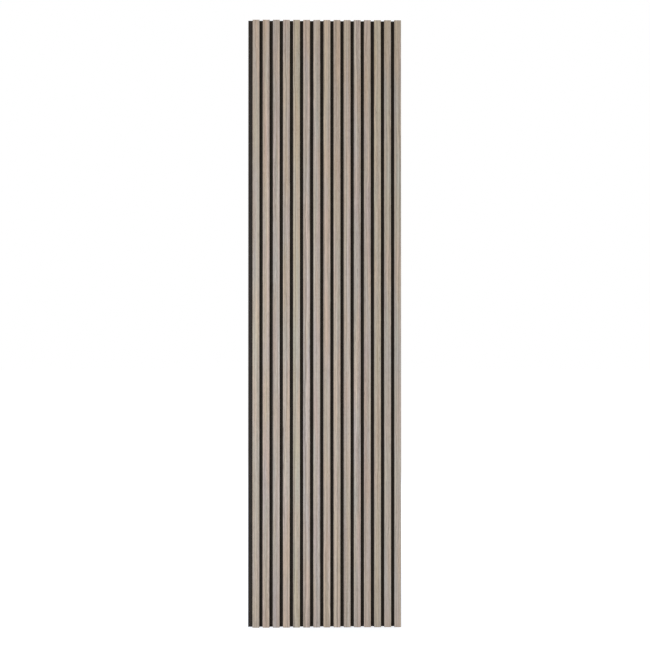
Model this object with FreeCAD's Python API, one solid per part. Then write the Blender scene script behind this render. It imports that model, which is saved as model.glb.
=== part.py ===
import FreeCAD, Part
import math
import os

# An acoustic slat wall panel: fifteen veneered slats held on one sheet of pressed felt.
# X runs across the panel, from the bare joint strip on the left to the flush edge on the right.
# Y is depth. The wall plane is Y = 0 and the slats face the room, towards -Y.
# Z is up. The origin is the middle of the bottom edge, on the wall plane.
# All sizes are in millimetres.

# The panel and its grid of slats
panel_height = 2400.0
slat_count = 15
slat_width = 27.0
slat_gap = 13.0
joint_strip_width = 18.0

# The layers, from the wall to the room
felt_thickness = 9.0
core_thickness = 11.4
veneer_thickness = 0.6

# The sanded long edges of each veneer
arris_radius = 0.4

# The staples that hold each slat: their rows up the slat, then one staple
staple_rows = 6
staple_end_distance = 100.0
crown_width = 12.8
leg_length = 14.0
wire_width = 0.95
wire_thickness = 0.65
chisel_height = 1.0
crown_recess = 0.2

# How far a cutting shape runs out past the face that it opens
cut_overrun = 1.0

# Places that follow from the sizes
slat_pitch = slat_width + slat_gap
felt_width = joint_strip_width + slat_count * slat_pitch - slat_gap
felt_left = -felt_width / 2
first_slat_left = felt_left + joint_strip_width
felt_front = -felt_thickness
core_front = felt_front - core_thickness
veneer_front = core_front - veneer_thickness
staple_pitch = (panel_height - 2 * staple_end_distance) / (staple_rows - 1)


def section_point(x, y, z=0.0):
    """A point of a horizontal cross-section at height z."""
    return FreeCAD.Vector(x, y, z)


def upright(section, height):
    """A horizontal cross-section drawn straight up into a solid."""
    return section.extrude(FreeCAD.Vector(0, 0, height))


def slat_left(index):
    """The left edge of a slat, counted from 0 beside the joint strip."""
    return first_slat_left + index * slat_pitch


def felt_blank():
    """The felt sheet before it is stapled, as wide as the joint strip and the slats together."""
    corner = section_point(felt_left, felt_front)
    return Part.makeBox(felt_width, felt_thickness, panel_height, corner)


def core_blank(index):
    """The square-edged bar of board under one veneer, before it is stapled."""
    corner = section_point(slat_left(index), core_front)
    return Part.makeBox(slat_width, core_thickness, panel_height, corner)


def veneer_section(left):
    """A thin strip whose two room-side corners are quarter rounds, as sanding leaves them."""
    right = left + slat_width
    radius = min(arris_radius, veneer_thickness)
    tangent = veneer_front + radius
    inset = radius * (1 - math.sqrt(0.5))
    left_round = Part.Arc(
        section_point(left, tangent),
        section_point(left + inset, veneer_front + inset),
        section_point(left + radius, veneer_front),
    )
    right_round = Part.Arc(
        section_point(right - radius, veneer_front),
        section_point(right - inset, veneer_front + inset),
        section_point(right, tangent),
    )
    face_line = Part.makeLine(left_round.EndPoint, right_round.StartPoint)
    back_corners = [
        right_round.EndPoint,
        section_point(right, core_front),
        section_point(left, core_front),
        left_round.StartPoint,
    ]
    back_lines = [
        Part.makeLine(start, end)
        for start, end in zip(back_corners, back_corners[1:])
        if not start.isEqual(end, 1e-6)
    ]
    edges = [left_round.toShape(), face_line, right_round.toShape(), *back_lines]
    return Part.Face(Part.Wire(edges))


def veneer_strip(index):
    """The wood veneer on the room side of one slat, full length."""
    return upright(veneer_section(slat_left(index)), panel_height)


def staple_section(middle, foot, crown_face):
    """A square-cornered U of flat wire seen from above, its legs ending in slanted points.

    The crown's outer face lies at depth crown_face, and foot is the height of its lower side.
    """
    outer = crown_width / 2
    inner = outer - wire_thickness
    under_crown = -crown_recess - wire_thickness
    tip = -crown_recess - leg_length
    shoulder = tip + chisel_height
    right_half = [
        (outer, crown_face),
        (outer, tip),
        (inner, shoulder),
        (inner, under_crown),
    ]
    left_half = [(-x, y) for x, y in reversed(right_half)]
    points = [section_point(middle + x, y, foot) for x, y in right_half + left_half]
    return Part.Face(Part.makePolygon(points + points[:1]))


def staple_wires(index, crown_face):
    """One U of wire for each row of staples behind a slat, from the bottom row up."""
    middle = slat_left(index) + slat_width / 2
    wires = []
    for row in range(staple_rows):
        row_height = staple_end_distance + row * staple_pitch
        foot = row_height - wire_width / 2
        wires.append(upright(staple_section(middle, foot, crown_face), wire_width))
    return wires


def staples_of(index):
    """The staples of one slat, each crown pulled a little under the back of the felt."""
    return staple_wires(index, -crown_recess)


def staple_slots_of(index):
    """The room that the same staples take, open at the back of the felt."""
    return staple_wires(index, cut_overrun)


def felt_backing():
    """The felt sheet with a slot through it for every staple."""
    slots = []
    for index in range(slat_count):
        slots += staple_slots_of(index)
    return felt_blank().cut(slots)


def slat_core(index):
    """A bar of board with two blind slots for the legs of each of its staples."""
    return core_blank(index).cut(staples_of(index))


def all_staples():
    """Every staple of the panel, as one group of separate solids."""
    staples = []
    for index in range(slat_count):
        staples += staples_of(index)
    return Part.makeCompound(staples)


def save(shape, name):
    """One file for each separate piece, or for the group of like staples."""
    shape.exportStep("parts/" + name + ".step")


os.makedirs("parts", exist_ok=True)
save(felt_backing(), "felt_backing")
for slat in range(slat_count):
    number = "%02d" % (slat + 1)
    save(slat_core(slat), "slat_core_" + number)
    save(veneer_strip(slat), "slat_veneer_" + number)
save(all_staples(), "staples")
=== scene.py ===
# %% [markdown]
# # An acoustic slat wall panel
# The panel is a sheet of pressed felt, 605 mm wide and 2.4 m high. Fifteen slats are glued
# and stapled to it. Each slat is a black fibreboard bar with a skin of grey-beige oak veneer
# on the side that faces the room.
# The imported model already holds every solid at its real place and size. This lesson dresses
# it: a softer felt sheet and bent wire staples stand in for two plain solids, and each slat
# gets the finish of the real material. That finish has to read from three metres away and
# from a hand's width.

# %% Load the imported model
import math

import bpy
import numpy as np
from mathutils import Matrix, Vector


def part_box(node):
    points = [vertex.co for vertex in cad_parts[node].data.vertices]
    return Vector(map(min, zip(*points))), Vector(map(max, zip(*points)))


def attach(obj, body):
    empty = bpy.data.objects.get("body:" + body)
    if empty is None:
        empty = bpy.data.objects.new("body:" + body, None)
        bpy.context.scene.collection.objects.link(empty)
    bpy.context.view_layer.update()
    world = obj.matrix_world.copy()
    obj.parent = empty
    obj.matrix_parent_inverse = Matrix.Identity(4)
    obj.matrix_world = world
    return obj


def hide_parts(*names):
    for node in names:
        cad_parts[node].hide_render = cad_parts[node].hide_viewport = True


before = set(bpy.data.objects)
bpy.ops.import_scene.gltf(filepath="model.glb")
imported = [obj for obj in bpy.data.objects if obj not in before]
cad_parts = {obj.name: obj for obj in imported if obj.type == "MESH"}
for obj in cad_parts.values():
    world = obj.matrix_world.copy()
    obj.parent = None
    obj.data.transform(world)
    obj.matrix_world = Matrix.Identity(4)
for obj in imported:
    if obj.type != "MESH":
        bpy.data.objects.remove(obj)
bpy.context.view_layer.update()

# %% [markdown]
# ## One unit and one grid
# Sizes at the bench are in millimetres, and Blender counts in metres. Every size of the
# panel is written in millimetres, and MM turns it into metres where it leaves the script.
# Only the places of the lamps and the camera, at the end, are in metres.
# The slats stand on a regular grid. Rather than typing that grid again, the script reads it
# from the boxes of the slats, so whatever it adds always meets them.

# %% Read the grid of slats from the frame
MM = 0.001


def box_mm(node):
    """The lowest and the highest corner of a node, in millimetres."""
    low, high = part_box(node)
    return np.array(low) / MM, np.array(high) / MM


core_names = sorted(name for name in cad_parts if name.startswith("slat_core_"))
veneer_names = sorted(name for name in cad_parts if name.startswith("slat_veneer_"))
core_boxes = [box_mm(name) for name in core_names]
core_lefts = np.array([low[0] for low, high in core_boxes])
core_rights = np.array([high[0] for low, high in core_boxes])
slat_middles = (core_lefts + core_rights) / 2
slat_pitch = core_lefts[1] - core_lefts[0]
slat_gap = core_lefts[1] - core_rights[0]
felt_low, felt_high = box_mm("felt_backing")
panel_height = felt_high[2]
print(len(core_names), "slats, pitch", round(slat_pitch, 2), "mm, gap", round(slat_gap, 2), "mm")

# %% [markdown]
# ## From arrays to a mesh
# Each new piece is a surface that is worked out as whole arrays: a table of points, and a
# table that says which points make each face. One helper turns the two tables into an
# object. The object stays at the origin, and its place is in its points.

# %% Two helpers for meshes


def grid_faces(numbers):
    """The quads between neighbours in a two-way table of point numbers."""
    a, b = numbers[:-1, :-1], numbers[1:, :-1]
    c, d = numbers[1:, 1:], numbers[:-1, 1:]
    return np.stack([a, b, c, d], axis=-1).reshape(-1, 4)


def surface_piece(name, points_mm, faces):
    """A smooth object on the panel with these points, in millimetres, and these faces."""
    mesh = bpy.data.meshes.new(name)
    mesh.from_pydata((points_mm * MM).tolist(), [], [list(face) for face in faces])
    mesh.shade_smooth()
    piece = bpy.data.objects.new(name, mesh)
    bpy.context.scene.collection.objects.link(piece)
    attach(piece, "root")
    print(name, "has", len(mesh.vertices), "points and", len(mesh.polygons), "faces")
    return piece


# %% [markdown]
# ## Where the staples sit
# Each slat is held by flat wire staples that are driven through the felt from behind. The
# plain solid of all of them gives their reach: its box ends at the outer faces of the
# crowns, the tips of the legs, and the first and the last row.

# %% Read the staples' places
STAPLE_ROWS = 6
WIRE_WIDTH = 0.95
WIRE_THICKNESS = 0.65

staple_low, staple_high = box_mm("staples")
crown_half = slat_middles[0] - staple_low[0]
crown_face = staple_high[1]
leg_tip = staple_low[1]
row_heights = np.linspace(
    staple_low[2] + WIRE_WIDTH / 2, staple_high[2] - WIRE_WIDTH / 2, STAPLE_ROWS
)
print("staple rows at", np.round(row_heights, 1), "mm, crown", round(2 * crown_half, 2), "mm")

# %% [markdown]
# ## The felt sheet
# Needled polyester felt is a stiff mat, yet soft enough to show what is done to it. It swells
# a little in the grooves, where no slat presses on it. Each staple pulls a shallow dimple
# into its back. The knife that trims it leaves its edges slightly round.
# A flat box shows none of this in low side light. Bump would shade it but leave the outline
# straight. So the sheet is one closed surface: a front and a back on the same grid, and a
# rim between them. Grid lines lie close together only where the sheet bends.

# %% Grid lines of the felt
EDGE_ROUND = 0.5
DIMPLE_REACH = 11.0
LONG_STEP = 23.0
CLOSEST_LINES = 0.05


def lines_between(low, high, step):
    """Evenly spaced lines from low to high, no further apart than step."""
    return np.linspace(low, high, math.ceil((high - low) / step) + 1)


def lines_beside(places, offsets):
    """A set of lines at the same offsets beside each place."""
    return (np.asarray(places)[:, None] + np.asarray(offsets)).ravel()


def in_order(*groups):
    """All the lines in order, without any that nearly repeats the one before it."""
    lines = np.sort(np.concatenate(groups))
    return lines[np.concatenate([[True], np.diff(lines) > CLOSEST_LINES])]


# Worked out on a 13 mm groove and a 9 mm dimple, then stretched to the real ones
groove_offsets = np.array([0.0, 1.5, 4.0, 6.5, 9.0, 11.5, 13.0]) / 13.0 * slat_gap
row_offsets = np.array([0.5, 1.2, 2.5, 5.0, 9.0]) / 9.0 * DIMPLE_REACH
edge_offsets = EDGE_ROUND * np.array([0.0, 0.15, 0.5, 1.0])
crown_offsets = crown_half + np.array([-2.4, 0.0, 1.0, 3.1])
across = in_order(
    felt_low[0] + edge_offsets,
    felt_high[0] - edge_offsets,
    lines_between(felt_low[0] + EDGE_ROUND, core_lefts[0], slat_gap / 4),
    lines_beside(core_rights[:-1], groove_offsets),
    lines_beside(slat_middles, np.concatenate([-crown_offsets, [0.0], crown_offsets])),
)
row_ends = np.concatenate([[EDGE_ROUND], row_heights, [panel_height - EDGE_ROUND]])
upward = in_order(
    felt_low[2] + edge_offsets,
    felt_high[2] - edge_offsets,
    lines_beside(row_heights, np.concatenate([-row_offsets, [0.0], row_offsets])),
    *[
        lines_between(low + DIMPLE_REACH, high - DIMPLE_REACH, LONG_STEP)
        for low, high in zip(row_ends, row_ends[1:])
    ],
)
print("felt grid:", len(across), "lines across by", len(upward), "lines up")

# %% [markdown]
# ### How the felt bends
# The front is flat under the slats. In a groove it rises towards the room with the distance
# to the nearest slat, quickly at first and then hardly at all. The back carries one dimple
# for each staple, as long as the crown and a few millimetres high.
# Both faces also roll by about a tenth of a millimetre. That roll is a sum of plane waves
# with different lengths and directions, which never repeats over the sheet.

# %% Height of the two faces
GROOVE_SWELL = 0.45
SWELL_REACH = 2.0
DIMPLE_DEPTH = 0.75
DIMPLE_SPREAD = 3.4
ROLL_HEIGHT = 0.12
SHORTEST_ROLL = 50.0
LONGEST_FRONT_ROLL = 160.0
LONGEST_BACK_ROLL = 240.0
dice = np.random.default_rng(7)


def slow_roll(x, z, shortest, longest, count=28):
    """A sum of plane waves, each the cosine of its direction times the place plus a phase.

    Lengths run evenly from the shortest wave to the longest, and the root of twice their
    number divides the sum, which so stays near -1 to 1.
    """
    lengths = np.linspace(shortest, longest, count)
    turns = dice.uniform(0, 2 * math.pi, count)
    phases = dice.uniform(0, 2 * math.pi, count)
    total = np.zeros(np.broadcast(x, z).shape)
    for length, turn, phase in zip(lengths, turns, phases):
        along = x * math.cos(turn) + z * math.sin(turn)
        total += np.cos(2 * math.pi * along / length + phase)
    return total / math.sqrt(2 * count)


def knife_round(distance):
    """How far the face drops at a distance from the cut: a quarter circle, then nothing."""
    inside = np.clip(distance, 0, EDGE_ROUND)
    return EDGE_ROUND - np.sqrt(EDGE_ROUND**2 - (EDGE_ROUND - inside) ** 2)


x, z = np.meshgrid(across, upward, indexing="ij")
to_slat = np.maximum(core_lefts - across[:, None], across[:, None] - core_rights)
bare = np.clip(to_slat.min(axis=1), 0, None)
swell = GROOVE_SWELL * (1 - np.exp(-bare / SWELL_REACH))
past_crown = np.clip(np.abs(across[:, None] - slat_middles) - crown_half, 0, None).min(axis=1)
pull_across = np.exp(-((past_crown / DIMPLE_SPREAD) ** 2))
to_row = np.abs(upward[:, None] - row_heights).min(axis=1)
pull_up = np.exp(-((to_row / DIMPLE_SPREAD) ** 2))
to_edge = np.minimum(
    np.minimum(x - felt_low[0], felt_high[0] - x), np.minimum(z - felt_low[2], felt_high[2] - z)
)
edge_drop = knife_round(to_edge)
front_waves = slow_roll(x, z, SHORTEST_ROLL, LONGEST_FRONT_ROLL)
front_roll = ROLL_HEIGHT * front_waves * (bare / (bare + SWELL_REACH))[:, None]
back_waves = slow_roll(x, z, SHORTEST_ROLL, LONGEST_BACK_ROLL)
back_roll = -ROLL_HEIGHT * np.clip(1 + back_waves, 0, None)
front = felt_low[1] - swell[:, None] + front_roll + edge_drop
back = felt_high[1] + back_roll - DIMPLE_DEPTH * np.outer(pull_across, pull_up) - edge_drop
print("front", front.min().round(2), front.max().round(2), "back", back.min().round(2))

# %% [markdown]
# ### Closing the sheet
# The rim walks once round the border of the grid. Its first row is the border of the front
# and its last row is the border of the back, so the three surfaces share their points and
# no seam opens. The rows between them are a little uneven, as cut felt is.

# %% Build the felt sheet
RIM_ROWS = 5
RIM_UNEVEN = 0.12

columns, rows = x.shape
front_numbers = np.arange(columns * rows).reshape(columns, rows)
back_numbers = front_numbers + front_numbers.size
loop_column = np.concatenate(
    [
        np.arange(columns),
        np.full(rows - 1, columns - 1),
        np.arange(columns - 2, -1, -1),
        np.zeros(rows - 2, int),
    ]
)
loop_row = np.concatenate(
    [
        np.zeros(columns, int),
        np.arange(1, rows),
        np.full(columns - 1, rows - 1),
        np.arange(rows - 2, 0, -1),
    ]
)
share = (np.arange(RIM_ROWS) + 1)[:, None] / (RIM_ROWS + 1)
loop_x, loop_z = x[loop_column, loop_row], z[loop_column, loop_row]
loop_front, loop_back = front[loop_column, loop_row], back[loop_column, loop_row]
rim_y = loop_front * (1 - share) + loop_back * share
cut_back = RIM_UNEVEN * dice.uniform(0, 1, rim_y.shape) * np.sin(math.pi * share)
rim_x = np.clip(loop_x, felt_low[0] + cut_back, felt_high[0] - cut_back)
rim_z = np.clip(loop_z, felt_low[2] + cut_back, felt_high[2] - cut_back)
rim_numbers = 2 * front_numbers.size + np.arange(rim_y.size).reshape(rim_y.shape)
rim_table = np.vstack(
    [front_numbers[loop_column, loop_row], rim_numbers, back_numbers[loop_column, loop_row]]
)
rim_table = np.hstack([rim_table, rim_table[:, :1]])
felt_points = np.concatenate(
    [
        np.stack([x, front, z], axis=-1).reshape(-1, 3),
        np.stack([x, back, z], axis=-1).reshape(-1, 3),
        np.stack([rim_x, rim_y, rim_z], axis=-1).reshape(-1, 3),
    ]
)
felt_faces = np.concatenate(
    [grid_faces(front_numbers), grid_faces(back_numbers)[:, ::-1], grid_faces(rim_table)]
)
felt = surface_piece("felt_sheet", felt_points, felt_faces)
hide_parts("felt_backing")

# %% [markdown]
# ## The staples
# A staple is flat wire bent twice, with a chisel point on each leg. Its crown lies in the
# dimple that it made, where a glint of it shows from behind.
# One cross-section is carried along the wire's middle line: up one leg, round the bend,
# along the crown, and down again. The path turns through half a circle in all, so the angle
# of its outward side is enough to say where the section stands.

# %% One staple as a swept section
BEND_RADIUS = 0.75
CHISEL = 1.0
SECTION_POINTS = 8
BEND_STEPS = 5

leg_middle = crown_half - WIRE_THICKNESS / 2
crown_middle = crown_face - WIRE_THICKNESS / 2
bend_angle = np.linspace(0, math.pi / 2, BEND_STEPS)
half_angle = np.concatenate([[0, 0], bend_angle, [math.pi / 2]])
half_x = np.concatenate(
    [[leg_middle] * 2, leg_middle - BEND_RADIUS * (1 - np.cos(bend_angle)), [0]]
)
half_y = np.concatenate(
    [
        [leg_tip, leg_tip + 2 * CHISEL],
        crown_middle - BEND_RADIUS * (1 - np.sin(bend_angle)),
        [crown_middle],
    ]
)
angle = np.concatenate([half_angle, math.pi - half_angle[-2::-1]])
path_x = np.concatenate([half_x, -half_x[-2::-1]])
path_y = np.concatenate([half_y, half_y[-2::-1]])


def soft_corner(value):
    """The square root of a cosine or sine with its sign kept, which squares up a circle."""
    return np.sign(value) * np.sqrt(np.abs(value))


turn = 2 * math.pi * (np.arange(SECTION_POINTS) + 0.5) / SECTION_POINTS
outward, upright = soft_corner(np.cos(turn)), soft_corner(np.sin(turn))
reach = WIRE_THICKNESS / 2 * outward
staple_x = path_x[:, None] + np.cos(angle)[:, None] * reach
staple_y = path_y[:, None] + np.sin(angle)[:, None] * reach
staple_z = np.broadcast_to(WIRE_WIDTH / 2 * upright, staple_x.shape)
tip_slant = CHISEL * (1 - outward) / 2
staple_y[[0, -1]] += tip_slant
one_staple = np.stack([staple_x, staple_y, staple_z], axis=-1)
print("one staple:", one_staple.shape[0], "sections of", SECTION_POINTS, "points")

# %% Repeat it behind every slat
one_count = one_staple[..., 0].size
ring = np.arange(one_count).reshape(-1, SECTION_POINTS)
ring = np.hstack([ring, ring[:, :1]])
side_faces = grid_faces(ring).tolist()
tip_faces = [ring[0, :-1].tolist(), ring[-1, -2::-1].tolist()]
middle_x, middle_z = np.meshgrid(slat_middles, row_heights)
places = np.stack([middle_x, np.zeros_like(middle_x), middle_z], axis=-1).reshape(-1, 1, 3)
staple_points = (places + one_staple.reshape(1, -1, 3)).reshape(-1, 3)
staple_faces = [
    [corner + number * one_count for corner in face]
    for number in range(len(places))
    for face in side_faces + tip_faces
]
staples = surface_piece("wire_staples", staple_points, staple_faces)
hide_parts("staples")

# %% [markdown]
# ## Building with nodes
# A procedural finish is a chain of small sums. Written out one socket at a time it fills
# pages, so a few helpers keep each step on one line. A source may be a plain value or the
# output of another node, and every node carries a label, so the graph can be read in the
# shader editor too.

# %% Helpers for node trees


def feed(tree, socket, source):
    """Sets an input to a plain value, or links it to another node's output."""
    if isinstance(source, bpy.types.NodeSocket):
        tree.links.new(source, socket)
    else:
        socket.default_value = source


def add(tree, kind, label, sources, **choices):
    """A labelled node. Choices are its menus, and sources its inputs by name or number."""
    node = tree.nodes.new("ShaderNode" + kind)
    node.label = label
    count = len(tree.nodes)
    node.location = (190 * count, -120 * (count % 5))
    for choice, value in choices.items():
        setattr(node, choice, value)
    for name, source in sources.items():
        feed(tree, node.inputs[name], source)
    return node


def sum_of(tree, operation, a, b=0.0, label=""):
    """One step of arithmetic on two numbers."""
    node = add(tree, "Math", label or operation.lower(), {0: a, 1: b}, operation=operation)
    return node.outputs[0]


def vector_of(tree, operation, a, b, label):
    """One step of arithmetic on two vectors."""
    return add(tree, "VectorMath", label, {0: a, 1: b}, operation=operation).outputs[0]


def between(tree, value, low, high, label, new_low=0.0, new_high=1.0):
    """Where a value lies from low to high, as a number from new_low to new_high."""
    names = ("Value", "From Min", "From Max", "To Min", "To Max")
    sources = dict(zip(names, (value, low, high, new_low, new_high)))
    return add(tree, "MapRange", label, sources, clamp=True).outputs[0]


def patches(tree, point, size, label, detail=2.0):
    """Soft noise near 0.5 whose patches have this size, in millimetres, along x, y and z."""
    place = vector_of(tree, "DIVIDE", point, size, label + " size")
    noise = add(tree, "TexNoise", label, {"Vector": place, "Scale": 1.0, "Detail": detail})
    return noise.outputs[0]


def clear_patches(tree, point, size, label, low=0.3, high=0.7, detail=2.0):
    """Patches with more contrast: 0 where the noise is at most low, 1 from high up."""
    noise = patches(tree, point, size, label, detail)
    return between(tree, noise, low, high, "contrast of the " + label)


def blend_colour(tree, label, amount, a, b, mode="MIX"):
    """Colour a with some of colour b laid over it."""
    sources = {0: amount, 6: a, 7: b}
    return add(tree, "Mix", label, sources, data_type="RGBA", blend_type=mode).outputs[2]


def weighted(tree, *pairs):
    """The sum of each value times its weight."""
    total = 0.0
    for value, weight in pairs:
        node = add(tree, "Math", "weigh", {0: value, 1: weight, 2: total}, operation="MULTIPLY_ADD")
        total = node.outputs[0]
    return total


def new_group(name, inputs, outputs):
    """An empty node group with named sockets, each name mapped to its kind of socket."""
    group = bpy.data.node_groups.new(name, "ShaderNodeTree")
    for side, sockets in (("INPUT", inputs), ("OUTPUT", outputs)):
        for socket, kind in sockets.items():
            group.interface.new_socket(socket, in_out=side, socket_type="NodeSocket" + kind)
    start = group.nodes.new("NodeGroupInput")
    end = group.nodes.new("NodeGroupOutput")
    return group, start.outputs, end.inputs


def use_group(tree, group, sources):
    """A copy of a node group inside another tree."""
    node = tree.nodes.new("ShaderNodeGroup")
    node.node_tree = group
    node.label = group.name.replace("_", " ")
    for name, source in sources.items():
        feed(tree, node.inputs[name], source)
    return node.outputs


# %% [markdown]
# ## Which slat is this?
# The veneer of each slat is sliced from a different place in the log. All fifteen share one
# material, so the material itself has to know which slat it is painting. It counts whole
# pitches from the first slat along x, and white noise turns that number into three chances
# that stay the same all over one slat. Counting from another number deals other chances.
# What is left of the last whole pitch tells how far the point lies from the slat's middle.

# %% Group: place on the grid of slats
FIRST_NUMBER = 19715.0


def slat_grid_group():
    """Counts pitches from Start: whole ones give the slat, and the rest the place on it."""
    inputs = {"Point": "Vector", "Start": "Float", "Pitch": "Float"}
    outputs = {"Chance": "Vector", "From Middle": "Float"}
    group, given, result = new_group("slat_grid", inputs, outputs)
    x_place = add(group, "SeparateXYZ", "across", {0: given["Point"]}).outputs[0]
    from_start = sum_of(group, "SUBTRACT", x_place, given["Start"])
    pitches = sum_of(group, "DIVIDE", from_start, given["Pitch"])
    number = sum_of(group, "ADD", sum_of(group, "FLOOR", pitches), FIRST_NUMBER, "slat number")
    noise = add(group, "TexWhiteNoise", "chance", {"W": number}, noise_dimensions="1D")
    rest = sum_of(group, "SUBTRACT", sum_of(group, "FRACT", pitches), 0.5)
    from_middle = sum_of(group, "MULTIPLY", sum_of(group, "ABSOLUTE", rest), given["Pitch"])
    feed(group, result["Chance"], noise.outputs["Color"])
    feed(group, result["From Middle"], from_middle)
    return group


slat_grid = slat_grid_group()
print("group", slat_grid.name)

# %% [markdown]
# ## The figure of the veneer
# Oak that is cut on the quarter shows nearly straight lines: a pale and a dark line for each
# year. In the dark line lie pores, short open scratches that run with the grain. Rays cross
# them as pale flecks. Over all of it the tone drifts slowly, because no log is even.
# A picture of a plank would be sharp at one distance only and would repeat from slat to slat.
# Noise is sharp at every distance and doesn't repeat on a panel. So each mark is soft noise
# at its own size, stretched far along z and squeezed across x.
# ### The way that the grain runs
# A slow wander bends the x place first, so every line follows the same gentle curve. Here and
# there the grain also flames, as it does beside a hidden knot, so in some stretches a quicker
# bend is added.

# %% Bend the grain


def bent_grain(group, start):
    """A place in the log, moved sideways by two noises all over and by one in some stretches."""
    drift = patches(group, start, (60, 60, 1600), "slow wander", 1.0)
    ripple = patches(group, start, (14, 14, 160), "quick wander", 1.0)
    flame = patches(group, start, (12, 40, 36), "flame", 1.0)
    flame_place = patches(group, start, (70, 60, 420), "where the grain flames", 1.0)
    flame_share = between(group, flame_place, 0.5, 0.6, "share of the flame")
    flame = sum_of(group, "MULTIPLY", flame, flame_share, "flame in its place")
    sideways = weighted(group, (drift, 16.0), (ripple, 1.5), (flame, 7.0))
    bend = add(group, "CombineXYZ", "sideways", {0: sideways}).outputs[0]
    return vector_of(group, "ADD", start, bend, "bent grain")


# %% [markdown]
# ### A swing from pale to dark
# Good and lean years come in turns, so a slow swing from pale to dark and back crosses the
# slat, stronger in one part of it than in another. Noise would leave it out of some slats, so
# this mark is a sine of the bent x place. A noise delays it as it climbs, and another makes
# it stronger or weaker, so it never looks ruled.

# %% Swing across the slat
SWING_LENGTH = 15.0
SWING_LAG = 20.0


def swing_across(group, start, wood):
    """The sine of the x place plus a lag, as a share of whole swings, times a strength."""
    x_place = add(group, "SeparateXYZ", "across the grain", {0: wood}).outputs[0]
    lag = patches(group, start, (30, 60, 700), "lag of the swing", 1.0)
    swing_place = weighted(group, (lag, SWING_LAG), (x_place, 1.0))
    turns = sum_of(group, "MULTIPLY", swing_place, 2 * math.pi / SWING_LENGTH, "turns")
    strength = clear_patches(group, start, (25, 60, 1600), "strength", 0.25, 0.65, 1.0)
    return sum_of(group, "MULTIPLY", sum_of(group, "SINE", turns), strength, "swing")


# %% [markdown]
# ### All the marks together
# Broad bands of one tone, which run nearly the whole slat, come from the knife meeting the
# rings at a changing angle. Years, streaks and fibres are the lines, each finer than the one
# before. The slat's chances shift the whole pattern so that no two slats match.
# Two more noises drift between warm and cool and between rosy and mossy, a slat's width at a
# time, as the colour of real oak does.

# %% Group: oak figure


def oak_figure_group():
    """Stretched noises of many sizes, on a place that wanders sideways as it climbs."""
    inputs = {"Point": "Vector", "Chance": "Vector", "Year": "Float", "Pore": "Float"}
    outputs = dict.fromkeys(("Tone", "Warmth", "Blush", "Pores", "Rays", "Height"), "Float")
    group, given, result = new_group("oak_figure", inputs, outputs)
    shift = vector_of(group, "MULTIPLY", given["Chance"], (700, 40, 9000), "own part of the log")
    start = vector_of(group, "ADD", given["Point"], shift, "place in the log")
    wood = bent_grain(group, start)

    band = clear_patches(group, wood, (5, 60, 3000), "broad bands", 0.32, 0.68, 1.0)
    swing = swing_across(group, start, wood)
    year_size = add(group, "CombineXYZ", "year size", {0: given["Year"], 1: 60.0, 2: 3000.0})
    year = clear_patches(group, wood, year_size.outputs[0], "year lines", 0.36, 0.64, 3.0)
    streak = clear_patches(group, wood, (2.6, 20, 45), "streaks")
    cloud = clear_patches(group, start, (16, 40, 170), "clouds")
    fibre = clear_patches(group, wood, (0.3, 6, 60), "fibres")
    lines = weighted(group, (year, 0.32), (streak, 0.2), (fibre, 0.12))
    tone = weighted(group, (band, 0.14), (swing, 0.20), (cloud, 0.06), (lines, 1.17))

    pore_size = add(group, "CombineXYZ", "pore size", {0: given["Pore"], 1: 3.0, 2: 15.0})
    pore = patches(group, wood, pore_size.outputs[0], "pores", 0.0)
    crowd = weighted(group, (pore, 1.0), (year, -0.16))
    pores = between(group, crowd, 0.5, 0.64, "open pores")
    slant = add(group, "Mapping", "rays lean", {"Vector": wood, "Rotation": (0, 0.1, 0)})
    rays = clear_patches(group, slant.outputs[0], (1.1, 5, 11), "ray flecks", 0.6, 0.74)

    warmth = clear_patches(group, start, (20, 40, 260), "warm or cool", detail=1.0)
    elsewhere = vector_of(group, "ADD", start, (410, 90, 0), "another place")
    blush = clear_patches(group, elsewhere, (20, 40, 260), "rosy or mossy", detail=1.0)
    height = weighted(group, (fibre, 0.3), (rays, 0.04), (pores, -1.0))
    for name, value in zip(outputs, (tone, warmth, blush, pores, rays, height)):
        feed(group, result[name], value)
    return group


oak_figure = oak_figure_group()
print("group", oak_figure.name, "has", len(oak_figure.nodes), "nodes")

# %% [markdown]
# ## A mat of fibres
# Felt is a tangle of polyester threads, and fibreboard is a pressed mat of wood fibres. Both
# look alike up close: curled threads at random, in denser and looser clumps.
# Drawing threads one by one would take a million of them. Soft noise already holds such
# curls, in the lines along which it passes its middle value. A narrow band about that value
# makes a thread. Each of four layers is stretched a different way in the plane of the sheet,
# so its threads run that way, and the layers cross like a tangle. All are thin from front to
# back, because pressed fibres lie flat, and that shows on the cut edges.

# %% Group: fibre mat
CURL_DEPTH = 0.3
CURL_LENGTH = 7.0

# The heading of each layer in radians, and its weight
MAT_LAYERS = ((0.3, 0.4), (1.2, 0.3), (2.0, 0.2), (2.8, 0.15))


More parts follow.
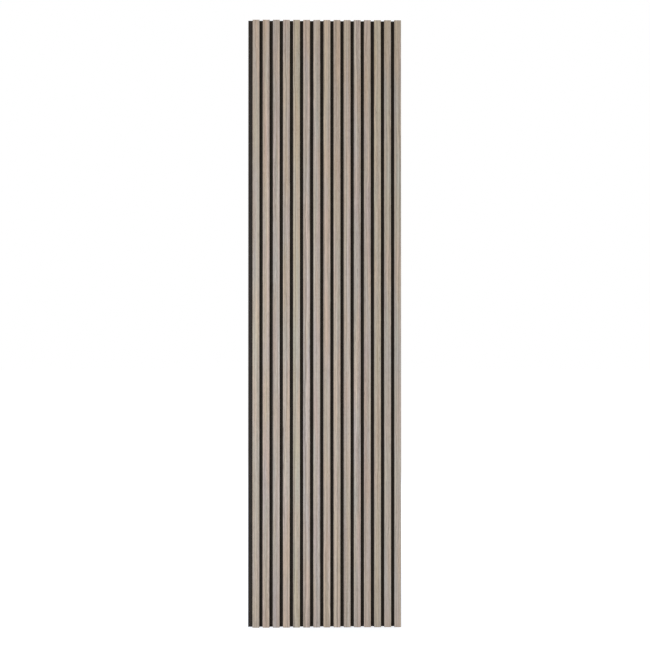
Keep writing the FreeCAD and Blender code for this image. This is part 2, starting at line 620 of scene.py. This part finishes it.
def fibre_mat_group():
    """A thread is where soft noise lies within a thin band about 0.5; four layers cross."""
    inputs = {"Point": "Vector", "Curl": "Float", "Thread": "Float", "Clump": "Float"}
    outputs = dict.fromkeys(("Threads", "Clumps", "Height"), "Float")
    group, given, result = new_group("fibre_mat", inputs, outputs)
    depth = sum_of(group, "MULTIPLY", given["Curl"], CURL_DEPTH, "depth")
    length = sum_of(group, "MULTIPLY", given["Curl"], CURL_LENGTH, "length")
    sides = {0: given["Curl"], 1: depth, 2: length}
    curl = add(group, "CombineXYZ", "curl", sides).outputs[0]
    clump = add(group, "CombineXYZ", "clump", dict.fromkeys((0, 1, 2), given["Clump"])).outputs[0]
    layers = []
    for number, (heading, weight) in enumerate(MAT_LAYERS):
        away = (31.0 * number, 17.0 * number, 53.0 * number)
        turned = {"Vector": given["Point"], "Location": away, "Rotation": (0, heading, 0)}
        place = add(group, "Mapping", "layer", {**turned, "Scale": curl}, vector_type="TEXTURE")
        noise = add(group, "TexNoise", "curls", {"Vector": place.outputs[0], "Scale": 1.0})
        off_middle = sum_of(group, "ABSOLUTE", sum_of(group, "SUBTRACT", noise.outputs[0], 0.5))
        layers.append((between(group, off_middle, given["Thread"], 0.0, "threads"), weight))
    threads = weighted(group, *layers)
    clumps = clear_patches(group, given["Point"], clump, "clumps", 0.28, 0.72, 3.0)
    height = weighted(group, (threads, 0.7), (clumps, 0.3))
    for name, value in zip(outputs, (threads, clumps, height)):
        feed(group, result[name], value)
    return group


fibre_mat = fibre_mat_group()
print("group", fibre_mat.name, "has", len(fibre_mat.nodes), "nodes")

# %% [markdown]
# ## Starting a material
# Every finish reads the place of a point in millimetres, from Object coordinates. The pieces
# all sit at the origin, so this is the place on the whole panel, and a pattern runs on from
# one slat to the next unless a chance moves it.
# The surface itself is Blender's Principled shader. What is the same all over, such as the
# sheen of the felt, is set on the shader, and only what changes over the surface is linked.

# %% A new material and its place in millimetres


def new_material(name, **constants):
    """A material, its tree, its shader, and the place on the panel in millimetres."""
    material = bpy.data.materials.new(name)
    material.use_nodes = True
    tree = material.node_tree
    shader = tree.nodes["Principled BSDF"]
    for socket, value in constants.items():
        shader.inputs[socket.replace("_", " ")].default_value = value
    place = add(tree, "TexCoord", "place", {}).outputs["Object"]
    point = vector_of(tree, "MULTIPLY", place, (1 / MM,) * 3, "in millimetres")
    return material, tree, shader, point


def relief(tree, shader, height, depth_mm):
    """Bump whose full height is depth_mm."""
    sources = {"Height": height, "Distance": depth_mm * MM, "Strength": 1.0}
    bump = add(tree, "Bump", "relief", sources)
    tree.links.new(bump.outputs[0], shader.inputs["Normal"])


# %% [markdown]
# ## The veneer
# The lacquer is matt, so the colour does most of the work. The pale tone is that of clean
# wood, and the deep one that of a dark streak. The tone of the figure moves between them,
# and each slat is a little lighter or darker, and a little warmer or cooler, than the next.
# Pores are dark and rough. Rays are pale and slightly smoother. The two long edges darken to
# nearly black over a few tenths of a millimetre, with an uneven border.

# %% Material: veneer
PALE_OAK = (0.632, 0.547, 0.464, 1)
DEEP_OAK = (0.257, 0.2185, 0.184, 1)
PORE_BROWN = (0.165, 0.130, 0.104, 1)
RAY_PALE = (0.620, 0.545, 0.480, 1)
WARM = (1.065, 1.0, 0.925, 1)
COOL = (0.935, 1.0, 1.075, 1)
ROSY = (1.022, 0.979, 1.022, 1)
MOSSY = (0.978, 1.021, 0.978, 1)
EDGE_BLACK = (0.060, 0.045, 0.035, 1)
EDGE_WIDTH = 0.7
EDGE_UNEVEN = 0.5
YEAR_WIDTH = 4.2
PORE_WIDTH = 0.22
DRIFT_TINT = 0.8
SLAT_WARMTH, SLAT_BLUSH = 0.45, 0.8
DARKEST_SLAT, LIGHTEST_SLAT = 0.99, 1.01
VENEER_RELIEF = 0.06


def edge_share(tree, point, from_middle):
    """1 at a long edge of the slat and 0 further in, with an uneven border."""
    edge = float(core_rights[0] - core_lefts[0]) / 2 + EDGE_UNEVEN / 2
    wobble = patches(tree, point, (3, 3, 9), "uneven creep", 3.0)
    place = weighted(tree, (wobble, EDGE_UNEVEN), (from_middle, 1.0))
    return between(tree, place, edge - EDGE_WIDTH, edge, "dark edge")


def tinted(tree, colour, warmth, blush):
    """A colour times a warm or cool tint and a rosy or mossy one, each a value and its share."""
    for (value, share), low, high in ((warmth, COOL, WARM), (blush, MOSSY, ROSY)):
        tint = blend_colour(tree, "tint", value, low, high)
        colour = blend_colour(tree, "tinted", share, colour, tint, "MULTIPLY")
    return colour


def veneer_material():
    """Grey-beige quartered oak under matt lacquer."""
    material, tree, shader, point = new_material("oak_veneer", Specular_IOR_Level=0.35)
    start = float(core_lefts[0] - slat_gap / 2)
    grid = {"Point": point, "Start": start, "Pitch": float(slat_pitch)}
    slat = use_group(tree, slat_grid, grid)
    chances = add(tree, "SeparateXYZ", "chances", {0: slat["Chance"]}).outputs
    widths = {"Year": YEAR_WIDTH, "Pore": PORE_WIDTH}
    sources = {"Point": point, "Chance": slat["Chance"], **widths}
    figure = use_group(tree, oak_figure, sources)
    colour = blend_colour(tree, "tone", figure["Tone"], DEEP_OAK, PALE_OAK)
    colour = tinted(tree, colour, (figure["Warmth"], DRIFT_TINT), (figure["Blush"], DRIFT_TINT))
    colour = tinted(tree, colour, (chances[1], SLAT_WARMTH), (chances[2], SLAT_BLUSH))
    slat_light = between(tree, chances[0], 0, 1, "slat lightness", DARKEST_SLAT, LIGHTEST_SLAT)
    light_colour = add(tree, "CombineColor", "slat grey", dict.fromkeys((0, 1, 2), slat_light))
    colour = blend_colour(tree, "slat lit", 1.0, colour, light_colour.outputs[0], "MULTIPLY")
    ray_share = sum_of(tree, "MULTIPLY", figure["Rays"], 0.4)
    colour = blend_colour(tree, "rays", ray_share, colour, RAY_PALE)
    pore_share = sum_of(tree, "MULTIPLY", figure["Pores"], 0.6)
    colour = blend_colour(tree, "pores", pore_share, colour, PORE_BROWN)
    edge = edge_share(tree, point, slat["From Middle"])
    colour = blend_colour(tree, "dark edges", edge, colour, EDGE_BLACK)
    feed(tree, shader.inputs["Base Color"], colour)
    rough = weighted(tree, (figure["Pores"], 0.2), (figure["Rays"], -0.08), (1.0, 0.55))
    feed(tree, shader.inputs["Roughness"], rough)
    relief(tree, shader, figure["Height"], VENEER_RELIEF)
    return material


veneer = veneer_material()
print("material", veneer.name)

# %% [markdown]
# ## The fibreboard
# The bars are sawn from board that is dyed black all through. The pressed faces are dense,
# and the middle of the thickness is more open, which shows at the ends and on the long
# sides. A saw leaves fine lines square to the grain of the slat, and a few pale fibres that
# the dye missed.

# %% Material: fibreboard
BOARD_BLACK = (0.024, 0.0190, 0.0155, 1)
BOARD_GREY = (0.056, 0.0455, 0.0380, 1)
FIBRE_BROWN = (0.120, 0.090, 0.065, 1)
BOARD_RELIEF = 0.12


def board_material():
    """Black-dyed fibreboard with saw lines."""
    material, tree, shader, point = new_material("black_board", Specular_IOR_Level=0.3)
    sources = {"Point": point, "Curl": 0.7, "Thread": 0.035, "Clump": 2.4}
    mat = use_group(tree, fibre_mat, sources)
    depth = add(tree, "SeparateXYZ", "depth", {0: point}).outputs[1]
    low, high = core_boxes[0]
    middle, half = float(low[1] + high[1]) / 2, float(high[1] - low[1]) / 2
    off_middle = sum_of(tree, "ABSOLUTE", sum_of(tree, "SUBTRACT", depth, middle))
    open_middle = between(tree, off_middle, half * 0.85, half * 0.3, "open middle")
    saw_line = clear_patches(tree, point, (30, 6, 0.5), "saw lines", 0.4, 0.6)
    grey = weighted(tree, (mat["Clumps"], 0.35), (open_middle, 0.25), (saw_line, 0.2))
    colour = blend_colour(tree, "board", grey, BOARD_BLACK, BOARD_GREY)
    fibre_share = sum_of(tree, "MULTIPLY", mat["Threads"], 0.16)
    colour = blend_colour(tree, "missed fibres", fibre_share, colour, FIBRE_BROWN)
    feed(tree, shader.inputs["Base Color"], colour)
    rough = weighted(tree, (open_middle, 0.12), (saw_line, 0.1), (1.0, 0.7))
    feed(tree, shader.inputs["Roughness"], rough)
    height = weighted(tree, (mat["Height"], 0.5), (saw_line, 0.5), (open_middle, -0.3))
    relief(tree, shader, height, BOARD_RELIEF)
    return material


board = board_material()
print("material", board.name)

# %% [markdown]
# ## The felt's finish
# The felt is charcoal, but none of its threads is quite black: needling mixes grey and black
# polyester, so the sheet is faintly mottled. Loose threads at the surface catch light from
# the side. Sheen on the shader stands for that fuzz, and relief for the tangle.

# %% Material: felt
FELT_BLACK = (0.0158, 0.0127, 0.0105, 1)
FELT_GREY = (0.0342, 0.0281, 0.0239, 1)
THREAD_GREY = (0.084, 0.0718, 0.0635, 1)
FELT_RELIEF = 0.32


def felt_material():
    """Charcoal needled felt with grey threads and clumps."""
    constants = {"Roughness": 1.0, "Specular_IOR_Level": 0.15, "Sheen_Weight": 0.12}
    material, tree, shader, point = new_material("charcoal_felt", **constants)
    sources = {"Point": point, "Curl": 1.1, "Thread": 0.035, "Clump": 7.0}
    mat = use_group(tree, fibre_mat, sources)
    cloud = clear_patches(tree, point, (60, 60, 60), "clouds")
    grey = weighted(tree, (mat["Clumps"], 0.55), (cloud, 0.35))
    colour = blend_colour(tree, "felt", grey, FELT_BLACK, FELT_GREY)
    thread_share = sum_of(tree, "MULTIPLY", mat["Threads"], 0.65)
    colour = blend_colour(tree, "grey threads", thread_share, colour, THREAD_GREY)
    feed(tree, shader.inputs["Base Color"], colour)
    relief(tree, shader, mat["Height"], FELT_RELIEF)
    return material


felt_finish = felt_material()
print("material", felt_finish.name)

# %% [markdown]
# ## The staples' finish
# The wire is zinc-coated steel. It is bright but not polished: drawing leaves fine lines
# along it, and the coat clouds over in patches.

# %% Material: staple wire
ZINC = (0.48, 0.485, 0.50, 1)
DULL_ZINC = (0.30, 0.30, 0.305, 1)
WIRE_RELIEF = 0.01


def wire_material():
    """Zinc-coated flat wire with dull patches and drawing lines."""
    material, tree, shader, point = new_material("zinc_wire", Metallic=1.0)
    patch = clear_patches(tree, point, (1.5, 1.5, 0.6), "dull patches", 0.4, 0.65)
    feed(tree, shader.inputs["Base Color"], blend_colour(tree, "zinc", patch, ZINC, DULL_ZINC))
    rough = weighted(tree, (patch, 0.25), (1.0, 0.3))
    feed(tree, shader.inputs["Roughness"], rough)
    line = patches(tree, point, (4, 4, 0.06), "drawing lines", 1.0)
    relief(tree, shader, line, WIRE_RELIEF)
    return material


wire = wire_material()
print("material", wire.name)

# %% [markdown]
# ## Giving each piece its finish
# The solids of the slats keep their own meshes, so only the material in their first slot
# changes. The two new pieces had no material until now.

# %% Assign the materials


def dress(piece, material):
    """Puts one material in the only slot of a piece."""
    piece.data.materials.clear()
    piece.data.materials.append(material)


for name in veneer_names:
    dress(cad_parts[name], veneer)
for name in core_names:
    dress(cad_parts[name], board)
dress(felt, felt_finish)
dress(staples, wire)
print("dressed", len(veneer_names) + len(core_names) + 2, "pieces")

# %% [markdown]
# ## The room
# The photograph shows the panel alone on white. White that comes from bright lamps would
# wash out the oak, so it is painted for the eye only: rays that reach the camera, or that a
# shiny surface throws back, see a white world and a nearly white floor. Every other ray
# meets a soft warm world and a plain pale floor, which light the panel gently.
# The floor keeps a share of its real shading, so the panel's shadow stays on it. That share
# has the opposite tint to the room's light, which leaves the shadow grey.

# %% Floor and world
FLOOR_SIZE = 40000.0
FLOOR_PALE = (0.80, 0.80, 0.79, 1)
WHITE = (1, 1, 1, 1)
ROOM_LIGHT = (0.700, 0.600, 0.447, 1)
FLOOR_GLOW = 0.745
SHADOW_SHARE = (0.40, 0.46, 0.61, 1)


def seen_directly(tree):
    """1 for rays from the camera and for mirrored or refracted ones, and 0 for the rest."""
    rays = add(tree, "LightPath", "rays", {}).outputs
    seen = sum_of(tree, "MAXIMUM", rays["Is Camera Ray"], rays["Is Glossy Ray"])
    return sum_of(tree, "MAXIMUM", seen, rays["Is Transmission Ray"])


def floor_material():
    """Pale and matt to the light, and white with a faint shadow to the eye."""
    material = bpy.data.materials.new("studio_floor")
    material.use_nodes = True
    tree = material.node_tree
    tree.nodes.clear()
    plain = add(tree, "BsdfDiffuse", "pale floor", {"Color": FLOOR_PALE})
    glow = add(tree, "Emission", "white floor", {"Color": WHITE, "Strength": FLOOR_GLOW})
    shade = add(tree, "BsdfDiffuse", "shadow share", {"Color": SHADOW_SHARE})
    bright = add(tree, "AddShader", "white with shadow", {0: glow.outputs[0], 1: shade.outputs[0]})
    sources = {0: seen_directly(tree), 1: plain.outputs[0], 2: bright.outputs[0]}
    mixed = add(tree, "MixShader", "by ray", sources)
    add(tree, "OutputMaterial", "floor", {0: mixed.outputs[0]})
    return material


half_floor = FLOOR_SIZE / 2 * MM
floor_mesh = bpy.data.meshes.new("floor")
floor_mesh.from_pydata(
    [(sx * half_floor, sy * half_floor, 0) for sx, sy in ((-1, -1), (1, -1), (1, 1), (-1, 1))],
    [],
    [(0, 1, 2, 3)],
)
floor_mesh.materials.append(floor_material())
floor = bpy.data.objects.new("floor", floor_mesh)
bpy.context.scene.collection.objects.link(floor)

world = bpy.data.worlds.new("soft_studio")
bpy.context.scene.world = world
world.use_nodes = True
sky = world.node_tree
room = blend_colour(sky, "room or white", seen_directly(sky), ROOM_LIGHT, WHITE)
feed(sky, sky.nodes["Background"].inputs["Color"], room)
print("floor and world ready")

# %% [markdown]
# ## The lamps
# In the photograph the left slats are lighter than the right ones, and the panel is lightest
# a little below its middle. One large soft lamp stands to the left at about that height. Its
# light falls off with distance, and that makes both gradients.
# The ends of the slats and the grooves look warmer than the lit middle, so the lamp has the
# cool tint of daylight against the warm light of the room. A second lamp behind the panel
# shows the felt and the staples when the panel is seen from the back.

# %% Two soft lamps
DAYLIGHT = (0.660, 0.805, 1.0)
PALE_DAY = (0.78, 0.89, 1.0)


def soft_lamp(name, place, target, size, power, colour):
    """A rectangular lamp at a place that faces a target, in metres and watts."""
    light = bpy.data.lights.new(name, "AREA")
    light.shape = "RECTANGLE"
    light.size, light.size_y = size
    light.energy = power
    light.color = colour
    lamp = bpy.data.objects.new(name, light)
    bpy.context.scene.collection.objects.link(lamp)
    lamp.location = place
    direction = np.array(target) - np.array(place)
    lamp.rotation_mode = "QUATERNION"
    lamp.rotation_quaternion = Vector(direction).to_track_quat("-Z", "Y")
    return lamp


soft_lamp(
    "key",
    place=(-1.7, -2.4, 0.86),
    target=(0, 0, 0.62),
    size=(1.2, 2.2),
    power=67,
    colour=DAYLIGHT,
)
soft_lamp(
    "back",
    place=(1.6, 2.6, 1.6),
    target=(0, 0, 1.2),
    size=(1.4, 1.4),
    power=66,
    colour=PALE_DAY,
)
print("lamps ready")

# %% [markdown]
# ## The camera
# The photograph is nearly square on to the panel. The spacing of its corners fits a camera
# three and a quarter metres away, a few centimetres left of the middle, and turned back a
# little to the right.

# %% Camera
LENS = 45.56
SENSOR = 36.0
CAMERA_PLACE = (-0.036, -3.270, 1.180)
DEGREES_UP = 0.234
DEGREES_RIGHT = 0.661

camera_data = bpy.data.cameras.new("camera")
camera_data.lens = LENS
camera_data.sensor_width = SENSOR
camera = bpy.data.objects.new("camera", camera_data)
bpy.context.scene.collection.objects.link(camera)
camera.location = CAMERA_PLACE
camera.rotation_euler = (math.radians(90 + DEGREES_UP), 0, -math.radians(DEGREES_RIGHT))
bpy.context.scene.camera = camera
bpy.context.scene.view_settings.view_transform = "Standard"
print("camera at", tuple(round(value, 3) for value in camera.location))
